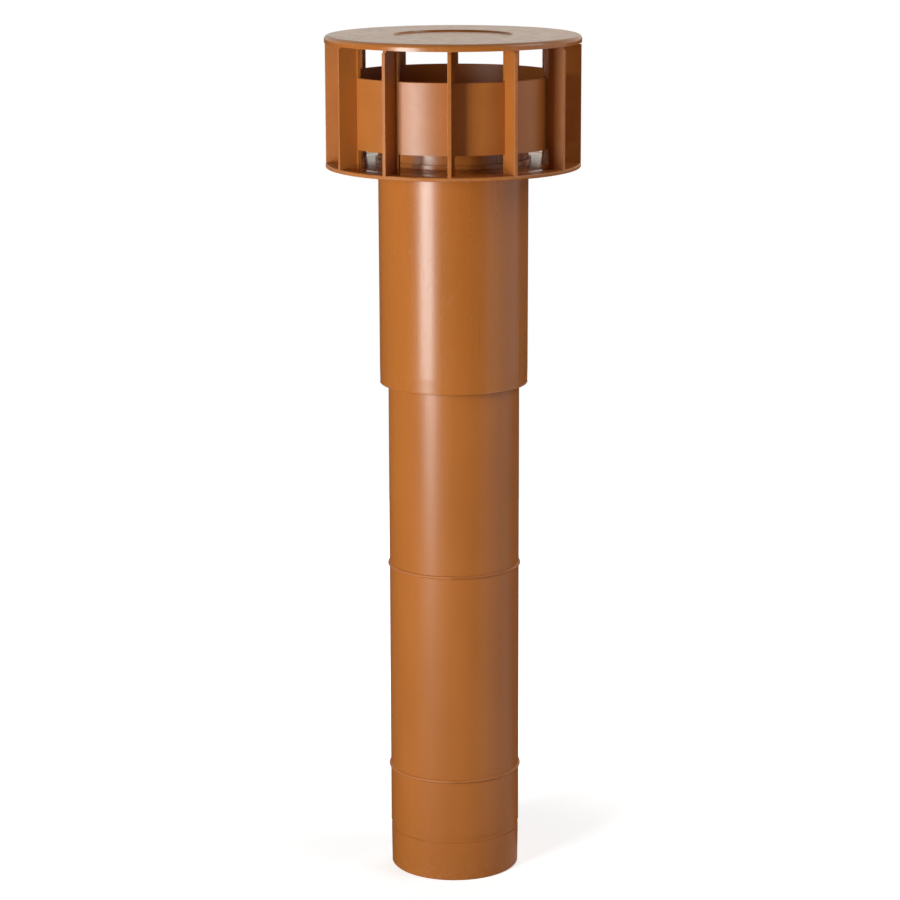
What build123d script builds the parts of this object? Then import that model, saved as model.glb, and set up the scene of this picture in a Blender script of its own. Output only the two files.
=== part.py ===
"""Roof vent pipe: a plastic duct pipe with a rain sleeve and a louvred cap on top.

The origin is on the axis at the pipe's lower end, +Z runs up the pipe. Sizes are in millimetres.
"""

import math
import os

from build123d import *

os.makedirs("parts", exist_ok=True)

# Pipe: the outside fits a 131 mm roof passage, the bore takes a 125 mm duct.
pipe_diameter = 131.0
pipe_wall = 3.0
pipe_length = 772.0
rib_heights = (105.5, 318.5)
rib_stand_out = 1.6
rib_round_radius = 1.7
groove_height = 40.0
groove_width = 5.6
groove_depth = 1.0
spigot_step = 0.3
spigot_taper = 0.5
lead_in_chamfer = 0.8

# Sleeve: a drafted rain collar that hangs from the pipe's top end, open below.
# Its foot tapers in a little and ends in a lip.
sleeve_length = 269.6
sleeve_wall = 2.6
sleeve_draft_angle = 0.1
upstand_gap = 5.7
pipe_seat_width = 2.0
locating_skirt_depth = 24.0
locating_skirt_wall = 2.2
pipe_fit_clearance = 0.15
sleeve_edge_radius = 0.7
sleeve_foot_height = 15.0
sleeve_foot_step = 0.3
sleeve_lip_radius = 0.8

# Louvre base: a round plate with a collar for the sleeve, and upright fins with short posts behind them.
cap_diameter = 252.0
plate_setback = 0.3
plate_rim_height = 4.0
plate_web_thickness = 2.8
drip_lip_width = 2.6
plate_edge_radius = 1.2
neck_height = 53.6
collar_wall = 2.4
collar_height = 5.5
collar_slope_width = 27.0
collar_slope_rise = 1.8
sleeve_fit_clearance = 0.15
fin_count = 12
fin_thickness = 3.5
fin_depth = 19.0
fin_setback = 0.2
fin_edge_radius = 0.4
post_overhang = 2.6

# Wind band: a plain ring that drops in behind the fins and stands on the posts.
band_gap = 18.3
band_height = 69.2
band_wall = 3.0
band_edge_radius = 0.7
band_fit_clearance = 0.15

# Lid: a dished disc whose skirt hangs round the notched tops of the fins.
# Posts below it hold the band down.
throat_height = 34.5
lid_wall = 3.0
lid_rim_height = 7.0
lid_skirt_wall = 2.4
lid_edge_radius = 4.0
lid_fit_clearance = 0.3
lid_recess_diameter = 118.0
lid_recess_depth = 1.6
lid_recess_slope = 1.0
notch_gap = 2.5

# Radii and heights that follow from the sizes above.
pipe_radius = pipe_diameter / 2
bore_radius = pipe_radius - pipe_wall
groove_top = groove_height + groove_width
spigot_top_radius = pipe_radius - spigot_step
spigot_tip_radius = spigot_top_radius - spigot_taper

sleeve_top = pipe_length + sleeve_wall
sleeve_bottom = sleeve_top - sleeve_length
sleeve_slope = math.tan(math.radians(sleeve_draft_angle))
sleeve_bottom_radius = pipe_radius + upstand_gap + sleeve_wall
sleeve_top_radius = sleeve_bottom_radius + sleeve_length * sleeve_slope
sleeve_foot_top = sleeve_bottom + sleeve_foot_height
sleeve_foot_top_radius = sleeve_bottom_radius + sleeve_foot_height * sleeve_slope
sleeve_foot_radius = sleeve_bottom_radius - sleeve_foot_step
sleeve_lip_height = sleeve_bottom + sleeve_lip_radius
sleeve_lip_middle = sleeve_bottom_radius - sleeve_lip_radius
skirt_inner_radius = pipe_radius + pipe_fit_clearance
skirt_outer_radius = skirt_inner_radius + locating_skirt_wall

cap_radius = cap_diameter / 2
plate_radius = cap_radius - plate_setback
plate_bottom = sleeve_top - neck_height
plate_top = plate_bottom + plate_rim_height
plate_underside = plate_top - plate_web_thickness
collar_top = plate_top + collar_height
collar_fit_radius = sleeve_bottom_radius + sleeve_fit_clearance
collar_bottom_bore = collar_fit_radius + (plate_bottom - sleeve_bottom) * sleeve_slope
collar_top_bore = collar_fit_radius + (collar_top - sleeve_bottom) * sleeve_slope
collar_radius = collar_bottom_bore + collar_wall

fin_radius = plate_radius - fin_setback
fin_inner_radius = fin_radius - fin_depth
band_radius = fin_inner_radius - band_fit_clearance
band_bore_radius = band_radius - band_wall
band_bottom = plate_top + band_gap
band_top = band_bottom + band_height
post_width = fin_thickness + post_overhang
plate_post_depth = fin_inner_radius - band_bore_radius
plate_post_middle = (fin_inner_radius + band_bore_radius) / 2
lid_post_middle = (band_radius + band_bore_radius) / 2

lid_underside = band_top + throat_height
lid_top = lid_underside + lid_wall
lid_bottom = lid_top - lid_rim_height
lid_skirt_bore = cap_radius - lid_skirt_wall
fin_top_radius = lid_skirt_bore - lid_fit_clearance
notch_bottom = lid_bottom - notch_gap
recess_radius = lid_recess_diameter / 2
recess_floor = lid_top - lid_recess_depth

# Vent pipe: straight tube with two moulded ribs, a shallow groove and a tapered lower end.
with BuildPart() as vent_pipe:
    with BuildSketch(Plane.XZ):
        with BuildLine():
            Polyline(
                (bore_radius, 0),
                (spigot_tip_radius - lead_in_chamfer, 0),
                (spigot_tip_radius, lead_in_chamfer),
                (spigot_top_radius, groove_height),
                (pipe_radius - groove_depth, groove_height),
                (pipe_radius - groove_depth, groove_top),
                (pipe_radius, groove_top),
                (pipe_radius, pipe_length),
                (bore_radius, pipe_length),
                close=True,
            )
        make_face()
    revolve(axis=Axis.Z)
    with BuildSketch(Plane.XZ):
        for rib_height in rib_heights:
            with Locations((pipe_radius + rib_stand_out - rib_round_radius, rib_height)):
                Circle(rib_round_radius)
    revolve(axis=Axis.Z)
vent_pipe.part.label = "vent_pipe"
export_step(vent_pipe.part, "parts/vent_pipe.step")

# Upper sleeve: outer wall with its foot and lip, and a top flange that sits on the pipe's end.
# A short skirt below the flange centres it.
with BuildPart() as upper_sleeve:
    with BuildSketch(Plane.XZ):
        with BuildLine():
            Polyline(
                (sleeve_lip_middle, sleeve_bottom),
                (sleeve_foot_radius, sleeve_lip_height),
                (sleeve_foot_top_radius, sleeve_foot_top),
                (sleeve_top_radius, sleeve_top),
                (pipe_radius - pipe_seat_width, sleeve_top),
                (pipe_radius - pipe_seat_width, pipe_length),
                (skirt_inner_radius, pipe_length),
                (skirt_inner_radius, pipe_length - locating_skirt_depth),
                (skirt_outer_radius, pipe_length - locating_skirt_depth),
                (skirt_outer_radius, pipe_length),
                (sleeve_top_radius - sleeve_wall, pipe_length),
                (sleeve_bottom_radius - sleeve_wall, sleeve_bottom),
                close=True,
            )
        make_face()
    revolve(axis=Axis.Z)
    top_rings = upper_sleeve.edges().filter_by(GeomType.CIRCLE).group_by(Axis.Z)[-1]
    fillet(top_rings.sort_by(SortBy.RADIUS)[-1], radius=sleeve_edge_radius)
    with BuildSketch(Plane.XZ):
        with Locations((sleeve_lip_middle, sleeve_lip_height)):
            Circle(sleeve_lip_radius)
    revolve(axis=Axis.Z)
upper_sleeve.part.label = "upper_sleeve"
export_step(upper_sleeve.part, "parts/upper_sleeve.step")

# One fin of the louvre, with the notch that clears the lid's skirt.
with BuildPart() as fin:
    with BuildSketch(Plane.XZ):
        with BuildLine():
            Polyline(
                (fin_inner_radius, plate_underside),
                (fin_radius, plate_underside),
                (fin_radius, notch_bottom),
                (fin_top_radius, notch_bottom),
                (fin_top_radius, lid_underside),
                (fin_inner_radius, lid_underside),
                close=True,
            )
        make_face()
    extrude(amount=fin_thickness / 2, both=True)
    outer_edges = fin.edges().filter_by(Axis.Z).group_by(Axis.X)[-1]
    fillet(outer_edges, radius=fin_edge_radius)

# Louvre base: plate with a drip lip below, a sloped foot round the sleeve's collar, and the ring of fins.
# The post behind each fin carries the band, and stands out past one side of the fin.
with BuildPart() as louvre_base:
    with BuildSketch(Plane.XZ):
        with BuildLine():
            Polyline(
                (collar_bottom_bore, plate_bottom),
                (collar_radius, plate_bottom),
                (collar_radius, plate_underside),
                (plate_radius - drip_lip_width, plate_underside),
                (plate_radius - drip_lip_width, plate_bottom),
                (plate_radius, plate_bottom),
                (plate_radius, plate_top),
                (collar_radius + collar_slope_width, plate_top),
                (collar_radius, plate_top + collar_slope_rise),
                (collar_radius, collar_top),
                (collar_top_bore, collar_top),
                close=True,
            )
        make_face()
    revolve(axis=Axis.Z)
    plate_rims = louvre_base.edges().filter_by(GeomType.CIRCLE).group_by(SortBy.RADIUS)[-1]
    fillet(plate_rims, radius=plate_edge_radius)
    with PolarLocations(0, fin_count):
        add(fin.part)
    with BuildSketch(Plane.XY.offset(plate_underside)):
        with PolarLocations(plate_post_middle, fin_count):
            with Locations((0, post_overhang / 2)):
                Rectangle(plate_post_depth, post_width)
    extrude(amount=band_bottom - plate_underside)
louvre_base.part.label = "louvre_base"
export_step(louvre_base.part, "parts/louvre_base.step")

# Wind band: plain ring with eased edges.
with BuildPart() as wind_band:
    with BuildSketch(Plane.XY.offset(band_bottom)):
        Circle(band_radius)
        Circle(band_bore_radius, mode=Mode.SUBTRACT)
    extrude(amount=band_height)
    band_rims = wind_band.edges().filter_by(GeomType.CIRCLE).group_by(Axis.Z)[-1]
    fillet(band_rims, radius=band_edge_radius)
wind_band.part.label = "wind_band"
export_step(wind_band.part, "parts/wind_band.step")

# Cap lid: disc of even wall, dished in the middle, with a rounded edge that runs down into the skirt.
# A post behind each fin reaches down to the band's top edge, above the plate's own post.
with BuildPart() as cap_lid:
    with BuildSketch(Plane.XZ):
        with BuildLine():
            Polyline(
                (0, recess_floor - lid_wall),
                (recess_radius + lid_wall, recess_floor - lid_wall),
                (recess_radius + lid_wall, lid_underside),
                (lid_skirt_bore, lid_underside),
                (lid_skirt_bore, lid_bottom),
                (cap_radius, lid_bottom),
                (cap_radius, lid_top),
                (recess_radius, lid_top),
                (recess_radius - lid_recess_slope, recess_floor),
                (0, recess_floor),
                close=True,
            )
        make_face()
    revolve(axis=Axis.Z)
    lid_rings = cap_lid.edges().filter_by(GeomType.CIRCLE).group_by(Axis.Z)[-1]
    fillet(lid_rings.sort_by(SortBy.RADIUS)[-1], radius=lid_edge_radius)
    with BuildSketch(Plane.XY.offset(band_top)):
        with PolarLocations(lid_post_middle, fin_count):
            with Locations((0, post_overhang / 2)):
                Rectangle(band_wall, post_width)
    extrude(until=Until.NEXT)
cap_lid.part.label = "cap_lid"
export_step(cap_lid.part, "parts/cap_lid.step")
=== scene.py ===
import math

import bmesh
import bpy
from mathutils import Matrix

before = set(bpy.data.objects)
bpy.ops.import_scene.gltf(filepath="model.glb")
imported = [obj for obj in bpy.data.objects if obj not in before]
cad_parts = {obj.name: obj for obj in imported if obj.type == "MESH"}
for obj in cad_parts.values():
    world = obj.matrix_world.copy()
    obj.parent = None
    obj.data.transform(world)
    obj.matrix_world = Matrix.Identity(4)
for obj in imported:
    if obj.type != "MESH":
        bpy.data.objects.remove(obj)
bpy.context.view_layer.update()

# Vent pipe
# The long duct pipe is extruded from plastic that is terracotta right through, with a satin skin.
# The die leaves faint draw lines along it. Standing on floors scuffs its lower end.
# Its rib crests are painted paler in spots, partly as handling rubs and partly as a painted highlight.
pipe_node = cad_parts["vent_pipe"]
terracotta = (0.46, 0.14, 0.0228, 1.0)
terracotta_shade = (0.428, 0.127, 0.0197, 1.0)
# Paler colour for rubs, scuffs and scratches. On edges and rib crests it is partly a painted
# highlight.
rub_and_highlight_terracotta = (0.5, 0.21, 0.068, 1.0)
plastic_ior = 1.53
pipe_radius = 0.0655
rib_radius = 0.0671
rib_rub_and_highlight_strength = 0.1
rib_dullness = 0.25
scuff_size = 0.004
scuff_detail = 6.0
scuff_start = 0.45
scuff_height = 0.03
scuff_strength = 0.4
draw_line_width = 0.003
draw_line_stretch = (1, 1, 60)
pipe_cloud_size = 0.05
pipe_cloud_stretch = (1, 1, 3)
pipe_grain_size = 0.0012
pipe_grain_depth = 0.00001
pipe_roughness = (0.322, 0.35)


def plastic_finish(name):
    """A new plastic material, given with its node tree, its shader and its object coordinates."""
    material = bpy.data.materials.new(name)
    material.use_nodes = True
    tree = material.node_tree
    shader = tree.nodes["Principled BSDF"]
    shader.inputs["IOR"].default_value = plastic_ior
    place = tree.nodes.new("ShaderNodeTexCoord").outputs["Object"]
    return material, tree, shader, place


def stretched(tree, place, stretch, turn=0.0):
    """Coordinates that draw a pattern out by stretch, along axes tipped by turn degrees about Y."""
    mapping = tree.nodes.new("ShaderNodeMapping")
    mapping.vector_type = "TEXTURE"
    mapping.inputs["Scale"].default_value = stretch
    mapping.inputs["Rotation"].default_value = (0, math.radians(turn), 0)
    tree.links.new(place, mapping.inputs["Vector"])
    return mapping.outputs["Vector"]


def spread(tree, value, start, end, low, high):
    """A value remapped smoothly, from low at start to high at end."""
    remap = tree.nodes.new("ShaderNodeMapRange")
    remap.interpolation_type = "SMOOTHSTEP"
    remap.inputs["From Min"].default_value = start
    remap.inputs["From Max"].default_value = end
    remap.inputs["To Min"].default_value = low
    remap.inputs["To Max"].default_value = high
    tree.links.new(value, remap.inputs["Value"])
    return remap.outputs["Result"]


def between(tree, amount, low, high):
    """A value that goes smoothly from low to high as amount goes from 0 to 1."""
    return spread(tree, amount, 0.0, 1.0, low, high)


def mottle(tree, place, size, detail=3.0, start=0.3, end=0.7):
    """Soft noise from 0 to 1, with spots about size metres across. A high start leaves few marks."""
    noise = tree.nodes.new("ShaderNodeTexNoise")
    noise.inputs["Scale"].default_value = 1 / size
    noise.inputs["Detail"].default_value = detail
    tree.links.new(place, noise.inputs["Vector"])
    return spread(tree, noise.outputs["Fac"], start, end, 0.0, 1.0)


def both(tree, operation, first, second):
    """Two values put together by a math operation."""
    node = tree.nodes.new("ShaderNodeMath")
    node.operation = operation
    tree.links.new(first, node.inputs[0])
    tree.links.new(second, node.inputs[1])
    return node.outputs["Value"]


def tint(tree, amount, under, over):
    """The colour over laid on the colour under, as strongly as amount says at each place."""
    mix = tree.nodes.new("ShaderNodeMix")
    mix.data_type = "RGBA"
    tree.links.new(amount, mix.inputs["Factor"])
    for colour, socket in ((under, mix.inputs["A"]), (over, mix.inputs["B"])):
        if isinstance(colour, tuple):
            socket.default_value = colour
        else:
            tree.links.new(colour, socket)
    return mix.outputs["Result"]


def relief(tree, shader, height, depth):
    """Surface relief of the given depth in metres, laid over any relief that the shader has."""
    bump = tree.nodes.new("ShaderNodeBump")
    bump.inputs["Distance"].default_value = depth
    tree.links.new(height, bump.inputs["Height"])
    if shader.inputs["Normal"].is_linked:
        tree.links.new(shader.inputs["Normal"].links[0].from_socket, bump.inputs["Normal"])
    tree.links.new(bump.outputs["Normal"], shader.inputs["Normal"])


def height_above_floor(tree, place):
    """The height of each place on the standing object."""
    split = tree.nodes.new("ShaderNodeSeparateXYZ")
    tree.links.new(place, split.inputs["Vector"])
    return split.outputs["Z"]


def distance_from_axis(tree, place):
    """How far each place is from the upright axis of the object."""
    flatten = tree.nodes.new("ShaderNodeVectorMath")
    flatten.operation = "MULTIPLY"
    flatten.inputs[1].default_value = (1, 1, 0)
    tree.links.new(place, flatten.inputs[0])
    length = tree.nodes.new("ShaderNodeVectorMath")
    length.operation = "LENGTH"
    tree.links.new(flatten.outputs["Vector"], length.inputs[0])
    return length.outputs["Value"]


pipe_skin, tree, shader, place = plastic_finish("extruded_terracotta")
draw_lines = mottle(tree, stretched(tree, place, draw_line_stretch), draw_line_width)
cloud = mottle(tree, stretched(tree, place, pipe_cloud_stretch), pipe_cloud_size)
spots = mottle(tree, place, scuff_size, scuff_detail, scuff_start)
height = height_above_floor(tree, place)
near_floor = spread(tree, height, 0.0, scuff_height, scuff_strength, 0.0)
radius = distance_from_axis(tree, place)
# Rib crests painted paler in spots: partly rubs, partly a painted highlight.
rib_rub_and_highlight = spread(tree, radius, pipe_radius, rib_radius, 0.0, rib_rub_and_highlight_strength)
scuffs_and_rib_highlight = both(tree, "MULTIPLY", spots, both(tree, "MAXIMUM", near_floor, rib_rub_and_highlight))
clouded = tint(tree, cloud, terracotta_shade, terracotta)
tree.links.new(tint(tree, scuffs_and_rib_highlight, clouded, rub_and_highlight_terracotta), shader.inputs["Base Color"])
skin_roughness = between(tree, draw_lines, *pipe_roughness)
dull_ribs = spread(tree, radius, pipe_radius, rib_radius, 0.0, rib_dullness)
tree.links.new(both(tree, "ADD", skin_roughness, dull_ribs), shader.inputs["Roughness"])
relief(tree, shader, draw_lines, pipe_grain_depth)
relief(tree, shader, mottle(tree, place, pipe_grain_size), pipe_grain_depth)
pipe_node.material_slots[0].material = pipe_skin

# Upper sleeve
# The wide rain sleeve is a moulded plastic tube with a glossy skin, in the pipe's colour.
# It hangs by its top flange on the pipe's end. It stays open below, where a roof tile's upstand
# goes in.
sleeve_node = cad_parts["upper_sleeve"]
sleeve_cloud_size = 0.06
sleeve_cloud_stretch = (1, 1, 4)
flow_line_width = 0.006
flow_line_stretch = (1, 1, 30)
hairline_width = 0.0012
hairline_stretch = (1, 1, 16)
hairline_lean = 24.0
hairline_detail = 0.0
hairline_start = 0.64
hairline_end = 0.8
hairline_tint = 0.15
hairline_roughness = 0.08
sleeve_grain_size = 0.0015
sleeve_relief_depth = 0.000003
sleeve_roughness = (0.272, 0.298)

sleeve_skin, tree, shader, place = plastic_finish("glossy_terracotta")
cloud = mottle(tree, stretched(tree, place, sleeve_cloud_stretch), sleeve_cloud_size)
flow_lines = mottle(tree, stretched(tree, place, flow_line_stretch), flow_line_width)
leaning = stretched(tree, place, hairline_stretch, hairline_lean)
hairlines = mottle(tree, leaning, hairline_width, hairline_detail, hairline_start, hairline_end)
clouded = tint(tree, cloud, terracotta_shade, terracotta)
scratched = between(tree, hairlines, 0.0, hairline_tint)
tree.links.new(tint(tree, scratched, clouded, rub_and_highlight_terracotta), shader.inputs["Base Color"])
skin_roughness = between(tree, flow_lines, *sleeve_roughness)
scratch_roughness = between(tree, hairlines, 0.0, hairline_roughness)
tree.links.new(both(tree, "ADD", skin_roughness, scratch_roughness), shader.inputs["Roughness"])
relief(tree, shader, flow_lines, sleeve_relief_depth)
relief(tree, shader, mottle(tree, place, sleeve_grain_size), sleeve_relief_depth)
sleeve_node.material_slots[0].material = sleeve_skin

# Louvre base
# The plate, its collar, the twelve upright fins and the posts behind them are one injection moulding.
# The collar slides down over the sleeve. The mould is polished for a ring on the plate's top.
# The fins' outer edges and the plate's rim are painted paler in spots, partly as handling rubs
# and partly as a painted highlight. The rim's upright face is dull.
base_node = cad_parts["louvre_base"]
rim_start_radius = 0.1244
rim_radius = 0.1257
rim_rub_and_highlight_strength = 0.3
mould_cloud_size = 0.035
swirl_size = 0.009
swirl_depth = 0.000004
mould_grain_size = 0.0014
base_grain_depth = 0.000002
base_roughness = (0.31, 0.37)
plate_top = 0.725
polish_height = 0.003
polish_blend = 0.003
ring_start_radius = 0.1035
ring_end_radius = 0.111
ring_blend = 0.001
face_start_radius = 0.1246
face_radius = 0.125
face_top = 0.7238
face_blend = 0.0004
# Each share multiplies the roughness there: on the slope up to the collar, on the polished ring,
# outside the ring and on the rim's face.
sloped_share = 0.68
polished_share = 0.4
outer_share = 0.9
dull_face_share = 2.2


def moulded_plastic(name, roughness, grain_depth):
    """The cap's plastic: clouded, paler at the rim from rubs and a painted highlight, swirls in its
    gloss, fine grain.
    """
    material, tree, shader, place = plastic_finish(name)
    swirl = mottle(tree, place, swirl_size)
    spots = mottle(tree, place, scuff_size, scuff_detail, scuff_start)
    radius = distance_from_axis(tree, place)
    # Outer edges and rim painted paler in spots: partly rubs, partly a painted highlight.
    rim_rub_and_highlight = spread(tree, radius, rim_start_radius, rim_radius, 0.0, rim_rub_and_highlight_strength)
    clouded = tint(tree, mottle(tree, place, mould_cloud_size), terracotta_shade, terracotta)
    colour = tint(tree, both(tree, "MULTIPLY", spots, rim_rub_and_highlight), clouded, rub_and_highlight_terracotta)
    gloss = between(tree, swirl, *roughness)
    relief(tree, shader, swirl, swirl_depth)
    relief(tree, shader, mottle(tree, place, mould_grain_size), grain_depth)
    return material, tree, shader, place, colour, gloss


base_skin, tree, shader, place, colour, gloss = moulded_plastic(
    "moulded_terracotta", base_roughness, base_grain_depth
)
polish_start = plate_top + polish_height
polish_end = polish_start + polish_blend
height = height_above_floor(tree, place)
above_plate = spread(tree, height, polish_start, polish_end, polished_share, 1.0)
radius = distance_from_axis(tree, place)
on_slope = spread(tree, radius, ring_start_radius - ring_blend, ring_start_radius, sloped_share, 0.0)
outside_ring = spread(tree, radius, ring_end_radius, ring_end_radius + ring_blend, 0.0, outer_share)
at_rim = spread(tree, radius, face_start_radius, face_radius, 0.0, 1.0)
below_rounding = spread(tree, height, face_top, face_top + face_blend, dull_face_share, 0.0)
on_face = both(tree, "MULTIPLY", at_rim, below_rounding)
beside_ring = both(tree, "MAXIMUM", on_slope, both(tree, "MAXIMUM", outside_ring, on_face))
dullness = both(tree, "MAXIMUM", above_plate, beside_ring)
tree.links.new(colour, shader.inputs["Base Color"])
tree.links.new(both(tree, "MULTIPLY", gloss, dullness), shader.inputs["Roughness"])
base_node.material_slots[0].material = base_skin

# Wind band
# A plain moulded ring stands on the posts behind the fins and breaks the wind.
# It is the same plastic, painted paler at its top edge, partly as rubbing and partly as a painted
# highlight. Air leaves over that edge and under the lower one.
band_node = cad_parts["wind_band"]
band_top = 0.8125
band_edge_rub_and_highlight_depth = 0.001
band_edge_rub_and_highlight_strength = 0.35
band_roughness = (0.385, 0.41)

band_skin, tree, shader, place, colour, gloss = moulded_plastic(
    "moulded_ring", band_roughness, base_grain_depth
)
height = height_above_floor(tree, place)
# The top edge painted paler in spots: partly rubbing, partly a painted highlight.
top_edge_rub_and_highlight = spread(tree, height, band_top - band_edge_rub_and_highlight_depth, band_top, 0.0, band_edge_rub_and_highlight_strength)
edge_rub_and_highlight_spots = both(tree, "MULTIPLY", mottle(tree, place, scuff_size, scuff_detail), top_edge_rub_and_highlight)
tree.links.new(tint(tree, edge_rub_and_highlight_spots, colour, rub_and_highlight_terracotta), shader.inputs["Base Color"])
tree.links.new(gloss, shader.inputs["Roughness"])
band_node.material_slots[0].material = band_skin

# Cap lid
# The dished lid is moulded from the same plastic. Its short skirt hangs round the notched tops of
# the fins, and its posts hold the band down. A thin film of dust lies on its open top face.
lid_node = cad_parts["cap_lid"]
film_start_height = 0.8462
film_height = 0.8472
film_strength = 0.08
film_size = 0.012
film_detail = 2.0
film_roughness = 0.1
roof_dust = (0.4, 0.3, 0.2, 1.0)
lid_roughness = (0.22, 0.27)
lid_polished_share = 0.9
lid_grain_depth = 0.0000005

lid_skin, tree, shader, place, colour, gloss = moulded_plastic(
    "moulded_lid", lid_roughness, lid_grain_depth
)
height = height_above_floor(tree, place)
on_top = spread(tree, height, film_start_height, film_height, 0.0, film_strength)
film = both(tree, "MULTIPLY", mottle(tree, place, film_size, film_detail), on_top)
tree.links.new(tint(tree, film, colour, roof_dust), shader.inputs["Base Color"])
polish = spread(tree, height, film_start_height, film_height, 1.0, lid_polished_share)
polished_gloss = both(tree, "MULTIPLY", gloss, polish)
film_dullness = between(tree, film, 0.0, film_roughness)
tree.links.new(both(tree, "ADD", polished_gloss, film_dullness), shader.inputs["Roughness"])
lid_node.material_slots[0].material = lid_skin

# Floor
# A plain pale studio floor under the standing end, which takes the soft shadow.
# It is washed out to white away from the object.
# In the object's gloss it looks dim, apart from its right side.
floor_radius = 1.6
floor_segments = 96
floor_paint_colour = (0.8, 0.8, 0.8, 1.0)
glow_at_foot = 0.58
glow_far_off = 1.0
pool_start = 0.12
pool_end = 0.55
floor_in_gloss = 0.05
right_in_gloss = 0.58
near_share_in_gloss = 0.45
# The right side is a sector round this direction. Its soft edge lies between these two cosines.
right_hand = (0.985, -0.174, 0.0)
right_sector = (0.77, 0.87)


def shown_to(tree, rays, shader, otherwise):
    """One shader for the named rays, and the shader otherwise for all the rest."""
    choice = tree.nodes.new("ShaderNodeMixShader")
    tree.links.new(rays, choice.inputs["Fac"])
    tree.links.new(otherwise, choice.inputs[1])
    tree.links.new(shader, choice.inputs[2])
    return choice.outputs["Shader"]


floor_mesh = bpy.data.meshes.new("floor")
sheet = bmesh.new()
bmesh.ops.create_circle(sheet, cap_ends=True, segments=floor_segments, radius=floor_radius)
sheet.to_mesh(floor_mesh)
sheet.free()
floor = bpy.data.objects.new("floor", floor_mesh)
bpy.context.scene.collection.objects.link(floor)

floor_paint = bpy.data.materials.new("pale_floor")
floor_paint.use_nodes = True
tree = floor_paint.node_tree
tree.nodes.remove(tree.nodes["Principled BSDF"])
place = tree.nodes.new("ShaderNodeTexCoord").outputs["Object"]
ray = tree.nodes.new("ShaderNodeLightPath")
radius = distance_from_axis(tree, place)
matt = tree.nodes.new("ShaderNodeBsdfDiffuse")
matt.inputs["Color"].default_value = floor_paint_colour
pool = spread(tree, radius, pool_start, pool_end, glow_at_foot, glow_far_off)
glow = tree.nodes.new("ShaderNodeEmission")
tree.links.new(both(tree, "MULTIPLY", pool, ray.outputs["Is Camera Ray"]), glow.inputs["Strength"])
lit_floor = tree.nodes.new("ShaderNodeAddShader")
tree.links.new(matt.outputs["BSDF"], lit_floor.inputs[0])
tree.links.new(glow.outputs["Emission"], lit_floor.inputs[1])
bearing = tree.nodes.new("ShaderNodeVectorMath")
bearing.operation = "NORMALIZE"
tree.links.new(place, bearing.inputs[0])
to_the_right = tree.nodes.new("ShaderNodeVectorMath")
to_the_right.operation = "DOT_PRODUCT"
to_the_right.inputs[1].default_value = right_hand
tree.links.new(bearing.outputs["Vector"], to_the_right.inputs[0])
rightness = to_the_right.outputs["Value"]
mirrored_level = spread(tree, rightness, *right_sector, floor_in_gloss, right_in_gloss)
near_share = spread(tree, radius, pool_start, pool_end, near_share_in_gloss, 1.0)
mirrored_floor = tree.nodes.new("ShaderNodeEmission")
tree.links.new(both(tree, "MULTIPLY", mirrored_level, near_share), mirrored_floor.inputs["Strength"])
floor_surface = shown_to(
    tree, ray.outputs["Is Glossy Ray"], mirrored_floor.outputs["Emission"], lit_floor.outputs["Shader"]
)
tree.links.new(floor_surface, tree.nodes["Material Output"].inputs["Surface"])
floor_mesh.materials.append(floor_paint)

# Studio light
# A tall soft strip stands at the front left, and a wide weak panel at the right, with a lamp above it.
# A soft lamp behind lights the object's back and stays out of its gloss. The room is dim and even.
# The camera sees white behind the object, and the gloss shows a pale backdrop.
lamp_distance = 1.6
strip_width = 0.52
strip_height = 0.96
strip_middle = 0.62
strip_bearing = -39.3
strip_radiance = 16.7
strip_colour = (0.94, 1.0, 1.0)
panel_width = 2.15
panel_height = 1.0
panel_middle = 0.55
panel_bearing = 84.0
panel_radiance = 0.72
high_size = 1.2
high_middle = 1.8
high_bearing = 78.0
high_tilt = 40.0
high_radiance = 2.6
rear_size = 1.4
rear_middle = 1.7
rear_bearing = 170.0
rear_tilt = 35.0
rear_radiance = 2.2
room_level = 0.03
backdrop_level = 0.8
front_level = 0.12
below_share = 0.07
horizon_blur = 0.02
backdrop_blur = 0.4
backdrop_colour = (1.0, 0.98, 0.88, 1.0)
white = (1.0, 1.0, 1.0, 1.0)
# A lamp or camera that is not turned looks straight down. A quarter turn makes it level.
quarter_turn = 90.0


def round_from_front(bearing, distance, height):
    """A place at that height and distance from the axis, bearing degrees round from the front."""
    turn = math.radians(bearing)
    return distance * math.sin(turn), -distance * math.cos(turn), height


def soft_box(name, width, height, middle, bearing, radiance, tilt=0.0):
    """A rectangular lamp that faces the axis, bearing degrees round from the front, tipped by tilt."""
    lamp = bpy.data.lights.new(name, "AREA")
    lamp.shape = "RECTANGLE"
    lamp.size = width
    lamp.size_y = height
    lamp.energy = radiance * math.pi * width * height
    stand = bpy.data.objects.new(name, lamp)
    stand.location = round_from_front(bearing, lamp_distance, middle)
    stand.rotation_euler = (math.radians(quarter_turn - tilt), 0, math.radians(bearing))
    stand.visible_camera = False
    bpy.context.scene.collection.objects.link(stand)
    return stand


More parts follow.
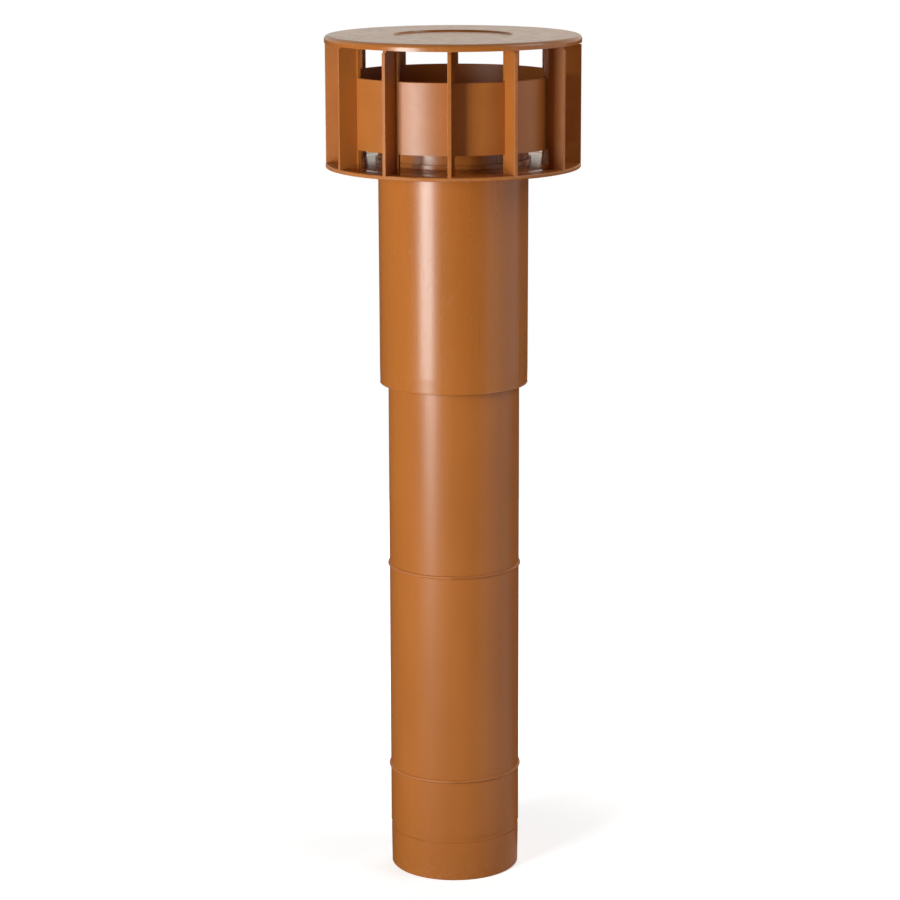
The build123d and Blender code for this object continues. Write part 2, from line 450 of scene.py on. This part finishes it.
key = soft_box("key_strip", strip_width, strip_height, strip_middle, strip_bearing, strip_radiance)
key.data.color = strip_colour
soft_box("side_panel", panel_width, panel_height, panel_middle, panel_bearing, panel_radiance)
soft_box("high_lamp", high_size, high_size, high_middle, high_bearing, high_radiance, high_tilt)
rear = soft_box("rear_lamp", rear_size, rear_size, rear_middle, rear_bearing, rear_radiance, rear_tilt)
rear.visible_glossy = False

world = bpy.data.worlds.new("studio")
bpy.context.scene.world = world
world.use_nodes = True
world.cycles.sampling_method = "NONE"
tree = world.node_tree
tree.nodes.remove(tree.nodes["Background"])
ray = tree.nodes.new("ShaderNodeLightPath")
direction = tree.nodes.new("ShaderNodeTexCoord").outputs["Generated"]
split = tree.nodes.new("ShaderNodeSeparateXYZ")
tree.links.new(direction, split.inputs["Vector"])
above_floor = spread(tree, split.outputs["Z"], -horizon_blur, horizon_blur, below_share, 1.0)
behind = spread(tree, split.outputs["Y"], -backdrop_blur, backdrop_blur, front_level, backdrop_level)
seen = tree.nodes.new("ShaderNodeBackground")
seen.inputs["Color"].default_value = white
backdrop = tree.nodes.new("ShaderNodeBackground")
backdrop.inputs["Color"].default_value = backdrop_colour
tree.links.new(both(tree, "MULTIPLY", above_floor, behind), backdrop.inputs["Strength"])
room = tree.nodes.new("ShaderNodeBackground")
room.inputs["Color"].default_value = white
room.inputs["Strength"].default_value = room_level
unseen = shown_to(
    tree, ray.outputs["Is Glossy Ray"], backdrop.outputs["Background"], room.outputs["Background"]
)
surroundings = shown_to(tree, ray.outputs["Is Camera Ray"], seen.outputs["Background"], unseen)
tree.links.new(surroundings, tree.nodes["World Output"].inputs["Surface"])

# Camera
# A long lens looks slightly down from the front, a touch to the right of the front fin.
# It stands nearly three metres away, so the pipe narrows only a little towards the floor.
camera_distance = 2.85
camera_height = 1.068
camera_bearing = 1.65
look_down = 12.533
aim_left = 0.047
camera_lean = 0.15
lens_length = 116.0

camera_data = bpy.data.cameras.new("camera")
camera_data.lens = lens_length
camera = bpy.data.objects.new("camera", camera_data)
camera.location = round_from_front(camera_bearing, camera_distance, camera_height)
camera.rotation_euler = (
    math.radians(quarter_turn - look_down),
    math.radians(camera_lean),
    math.radians(camera_bearing + aim_left),
)
bpy.context.scene.collection.objects.link(camera)
bpy.context.scene.camera = camera
bpy.context.scene.view_settings.view_transform = "Standard"
